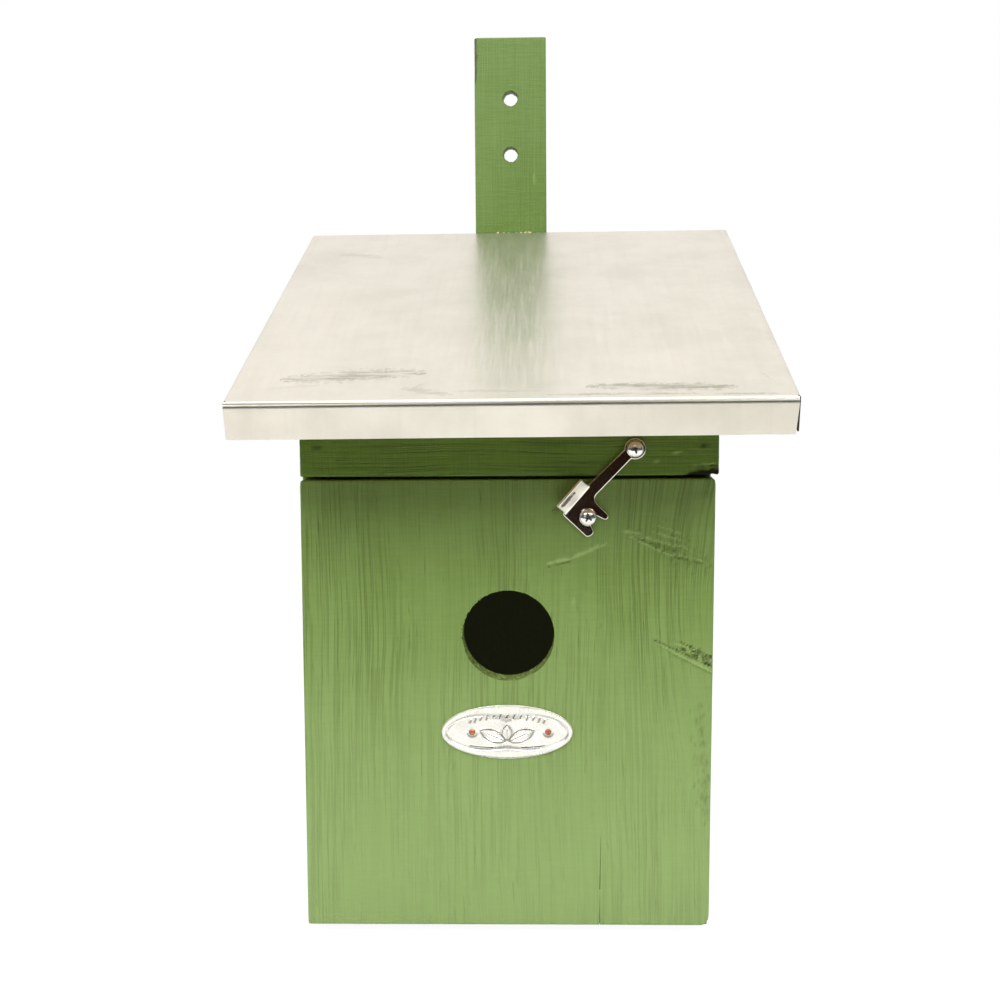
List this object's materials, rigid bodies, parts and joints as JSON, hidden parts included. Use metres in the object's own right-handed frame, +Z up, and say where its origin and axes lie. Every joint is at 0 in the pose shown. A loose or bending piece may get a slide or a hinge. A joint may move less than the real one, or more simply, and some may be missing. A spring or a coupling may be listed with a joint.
{
  "type": "nest box",
  "caption": "Hanging garden nest box with a sloping metal-covered roof, a round entry hole, a latched drop-down front panel and a rear mounting batten.",
  "frame": {"origin": "middle of the bounding box's foot: on the resting plane under the box, midway between the roof's front fold and the batten's back face", "axes": "+Z up, -Y towards the front with the entry hole, +X to the viewer's right when facing the front"},
  "size_m": [0.1792, 0.2078, 0.3366],
  "materials": {
    "painted_wood": "satin green paint over sawn pine",
    "bare_wood": "unpainted pine",
    "zinc_sheet": "satin rolled zinc",
    "latch_plating": "bright plating",
    "screw_metal": "bright plating",
    "nail_metal": "plain wire nail",
    "plate_metal": "pressed, satin",
    "tack_metal": "coppered",
    "hinge_metal": "plain wire"
  },
  "bodies": {
    "box": {"back_board": "painted_wood", "side_board_left": "painted_wood", "side_board_right": "painted_wood", "floor_board": "painted_wood", "front_rail": "painted_wood", "mounting_batten": "painted_wood", "roof_board": "bare_wood", "roof_sheet": "zinc_sheet", "latch_pivot_screw": "screw_metal", "batten_screw_low": "screw_metal", "batten_screw_high": "screw_metal", "back_nail_left_low": "nail_metal", "back_nail_left_middle": "nail_metal", "back_nail_left_high": "nail_metal", "back_nail_right_low": "nail_metal", "back_nail_right_middle": "nail_metal", "back_nail_right_high": "nail_metal", "floor_nail_left_front": "nail_metal", "floor_nail_left_rear": "nail_metal", "floor_nail_right_front": "nail_metal", "floor_nail_right_rear": "nail_metal", "rail_nail_left": "nail_metal", "rail_nail_right": "nail_metal", "roof_nail_left_front": "nail_metal", "roof_nail_left_rear": "nail_metal", "roof_nail_right_front": "nail_metal", "roof_nail_right_rear": "nail_metal", "hinge_eye_left": "hinge_metal", "hinge_eye_right": "hinge_metal"},
    "door": {"front_panel": "painted_wood", "name_plate": "plate_metal", "plate_tack_left": "tack_metal", "plate_tack_right": "tack_metal", "latch_keeper_screw": "screw_metal", "hinge_pin_left": "hinge_metal", "hinge_pin_right": "hinge_metal"},
    "latch": {"latch_hook": "latch_plating"}
  },
  "joints": [
    {"name": "door_hinge", "type": "hinge", "parent": "box", "child": "door", "pos_m": [-0.0029, -0.0479, 0.0072], "axis": [1, 0, 0], "range_deg": [0, 90]},
    {"name": "latch_turn", "type": "hinge", "parent": "box", "child": "latch", "pos_m": [0.0415, -0.0545, 0.1734], "axis": [0, 1, 0], "range_deg": [0, 70]}
  ]
}
